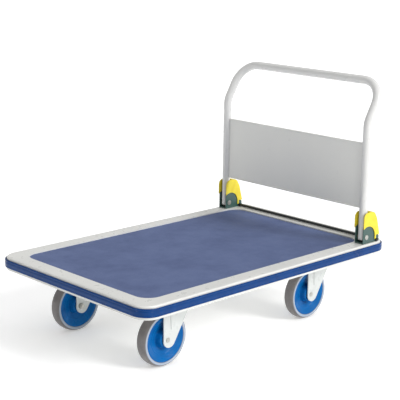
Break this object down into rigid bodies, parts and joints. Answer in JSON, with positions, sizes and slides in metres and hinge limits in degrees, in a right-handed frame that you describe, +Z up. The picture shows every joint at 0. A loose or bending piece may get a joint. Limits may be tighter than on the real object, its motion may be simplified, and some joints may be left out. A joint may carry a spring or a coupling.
{
  "type": "folding platform cart",
  "caption": "Flat steel platform cart with a padded deck, corner bumper, blue-hubbed casters and a tube handle that folds down over the deck.",
  "frame": {"origin": "on the floor under the middle of the deck", "axes": "+X from the nose to the handle end, +Y to the left seen from the handle, +Z up"},
  "size_m": [1.254, 0.804, 0.914],
  "materials": {
    "deck_paint": "gloss baked enamel",
    "fork_paint": "gloss baked enamel",
    "handle_paint": "satin baked enamel",
    "mat": "fine pebbled, matt",
    "bumper": "soft vinyl, half gloss",
    "tyre": "non-marking grey rubber",
    "hub": "moulded, half gloss",
    "bracket_paint": "dark green enamel",
    "lever": "moulded, half gloss",
    "dark_steel": "black oxide",
    "bush": "sintered bronze",
    "zinc": "zinc plated"
  },
  "bodies": {
    "cart_frame": {"ball_race_left": "zinc", "ball_race_right": "zinc", "bracket_bolts": "zinc", "bracket_nuts": "zinc", "bumper": "bumper", "caster_bolts": "zinc", "caster_nuts": "zinc", "deck_mat": "mat", "deck_pan": "deck_paint", "front_axle_bolts": "zinc", "front_axle_nuts": "zinc", "front_axle_sleeves": "zinc", "front_cross_member": "deck_paint", "hinge_bracket_left": "bracket_paint", "hinge_bracket_right": "bracket_paint", "hinge_channels": "deck_paint", "hinge_pin_clips": "zinc", "hinge_pins": "zinc", "kingpin_left": "zinc", "kingpin_right": "zinc", "lever_springs": "dark_steel", "rear_cross_member": "deck_paint", "rigid_fork_left": "fork_paint", "rigid_fork_right": "fork_paint", "stiffener_rails": "deck_paint", "swivel_plate_left": "zinc", "swivel_plate_right": "zinc"},
    "handle": {"handle_tube": "handle_paint", "handle_panel": "handle_paint", "handle_foot_left": "handle_paint", "handle_foot_right": "handle_paint", "foot_bush_left": "bush", "foot_bush_right": "bush"},
    "release_bar": {"release_shaft": "dark_steel", "shaft_clips": "dark_steel", "release_lever_left": "lever", "release_lever_right": "lever", "lock_pawl_left": "dark_steel", "lock_pawl_right": "dark_steel"},
    "rear_swivel_left": {"swivel_fork_left": "fork_paint", "rear_axle_bolt_left": "zinc", "rear_axle_nut_left": "zinc", "rear_axle_sleeve_left": "zinc"},
    "rear_swivel_right": {"swivel_fork_right": "fork_paint", "rear_axle_bolt_right": "zinc", "rear_axle_nut_right": "zinc", "rear_axle_sleeve_right": "zinc"},
    "front_wheel_left": {"front_tyre_left": "tyre", "front_hub_left": "hub", "front_bearings_left": "zinc"},
    "front_wheel_right": {"front_tyre_right": "tyre", "front_hub_right": "hub", "front_bearings_right": "zinc"},
    "rear_wheel_left": {"rear_tyre_left": "tyre", "rear_hub_left": "hub", "rear_bearings_left": "zinc"},
    "rear_wheel_right": {"rear_tyre_right": "tyre", "rear_hub_right": "hub", "rear_bearings_right": "zinc"}
  },
  "joints": [
    {"name": "handle_fold", "type": "hinge", "parent": "cart_frame", "child": "handle", "pos_m": [0.505, 0, 0.316], "axis": [0, 1, 0], "range_deg": [-90, 0]},
    {"name": "lever_release", "type": "hinge", "parent": "cart_frame", "child": "release_bar", "pos_m": [0.566, 0, 0.298], "axis": [0, 1, 0], "range_deg": [0, 6], "stiffness_Nm_per_rad": 1.2, "springref_deg": -20.05},
    {"name": "rear_swivel_left", "type": "hinge", "parent": "cart_frame", "child": "rear_swivel_left", "pos_m": [0.374, 0.2365, 0.22], "axis": [0, 0, 1], "continuous": true},
    {"name": "rear_swivel_right", "type": "hinge", "parent": "cart_frame", "child": "rear_swivel_right", "pos_m": [0.374, -0.2365, 0.22], "axis": [0, 0, 1], "continuous": true},
    {"name": "front_wheel_spin_left", "type": "hinge", "parent": "cart_frame", "child": "front_wheel_left", "pos_m": [-0.405, 0.2365, 0.098], "axis": [0, 1, 0], "continuous": true},
    {"name": "front_wheel_spin_right", "type": "hinge", "parent": "cart_frame", "child": "front_wheel_right", "pos_m": [-0.405, -0.2365, 0.098], "axis": [0, 1, 0], "continuous": true},
    {"name": "rear_wheel_spin_left", "type": "hinge", "parent": "rear_swivel_left", "child": "rear_wheel_left", "pos_m": [0.334, 0.2365, 0.098], "axis": [0, 1, 0], "continuous": true},
    {"name": "rear_wheel_spin_right", "type": "hinge", "parent": "rear_swivel_right", "child": "rear_wheel_right", "pos_m": [0.334, -0.2365, 0.098], "axis": [0, 1, 0], "continuous": true}
  ]
}
